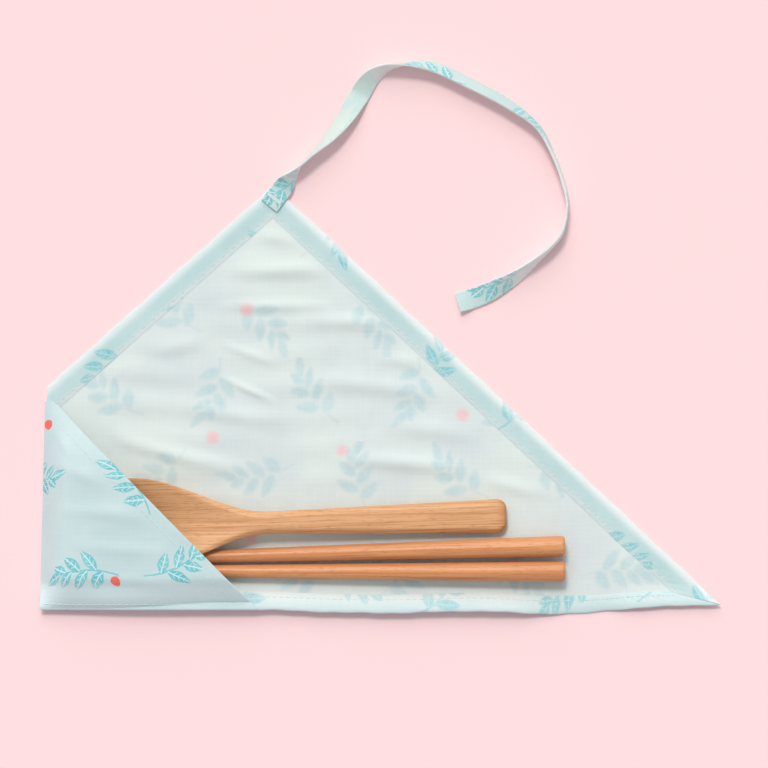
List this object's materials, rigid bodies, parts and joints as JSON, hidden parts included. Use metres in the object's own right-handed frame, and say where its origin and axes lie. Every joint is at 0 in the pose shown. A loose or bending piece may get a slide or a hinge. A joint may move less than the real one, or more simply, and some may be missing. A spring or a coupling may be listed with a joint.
{
  "type": "cutlery pouch",
  "caption": "Triangular cloth wrap with a sewn corner pocket, a ribbon tie and wooden cutlery that slides out of the pocket.",
  "frame": {"origin": "on the table, under the middle of the wrap's box, without the free ribbon", "axes": "+X along the bottom edge from the folded left edge to the right corner, +Y towards the apex, +Z off the table"},
  "size_m": [0.305, 0.2465, 0.0142],
  "materials": {
    "cloth_print": "pale aqua printed cotton",
    "cloth_inside": "pale mint wrong side of the cotton",
    "thread": "pale sewing thread",
    "spoon_wood": "satin bamboo",
    "chopstick_wood": "satin oiled wood"
  },
  "bodies": {
    "base": {"base_panel": "cloth_inside", "left_fold": "cloth_print", "pocket_panel": "cloth_print", "pocket_mouth_hem": "cloth_print", "base_bottom_hem": "cloth_print", "base_right_hem": "cloth_print", "corner_hem": "cloth_print"},
    "flap": {"flap_panel": "cloth_inside", "flap_left_hem": "cloth_print", "flap_right_hem": "cloth_print", "tie_tab": "cloth_print", "tie_bar_tack": "thread"},
    "tail": {"tail_panel": "cloth_inside", "tail_right_hem": "cloth_print", "tail_bottom_hem": "cloth_print"},
    "tie": {"tie_strap": "cloth_print"},
    "spoon": {"spoon": "spoon_wood"},
    "chopstick_rear": {"chopstick_rear": "chopstick_wood"},
    "chopstick_front": {"chopstick_front": "chopstick_wood"}
  },
  "joints": [
    {"name": "flap_fold", "type": "hinge", "parent": "base", "child": "flap", "pos_m": [0, 0.00152, 0.00145], "axis": [1, 0, 0], "range_deg": [0, 155]},
    {"name": "tail_fold", "type": "hinge", "parent": "base", "child": "tail", "pos_m": [0.09452, -0.07, 0.00145], "axis": [0, -1, 0], "range_deg": [0, 130]},
    {"name": "tie_swing", "type": "hinge", "parent": "flap", "child": "tie", "pos_m": [-0.03884, 0.09667, 0.0014], "axis": [0, 0, 1], "range_deg": [-6, 70]},
    {"name": "spoon_slide", "type": "slide", "parent": "base", "child": "spoon", "axis": [-0.9991, -0.0279, -0.0325], "range_m": [-0.12, 0]},
    {"name": "chopstick_rear_slide", "type": "slide", "parent": "base", "child": "chopstick_rear", "axis": [-0.9995, -0.0303, 0], "range_m": [-0.12, 0]},
    {"name": "chopstick_front_slide", "type": "slide", "parent": "base", "child": "chopstick_front", "axis": [-1, 0, 0], "range_m": [-0.12, 0]}
  ]
}
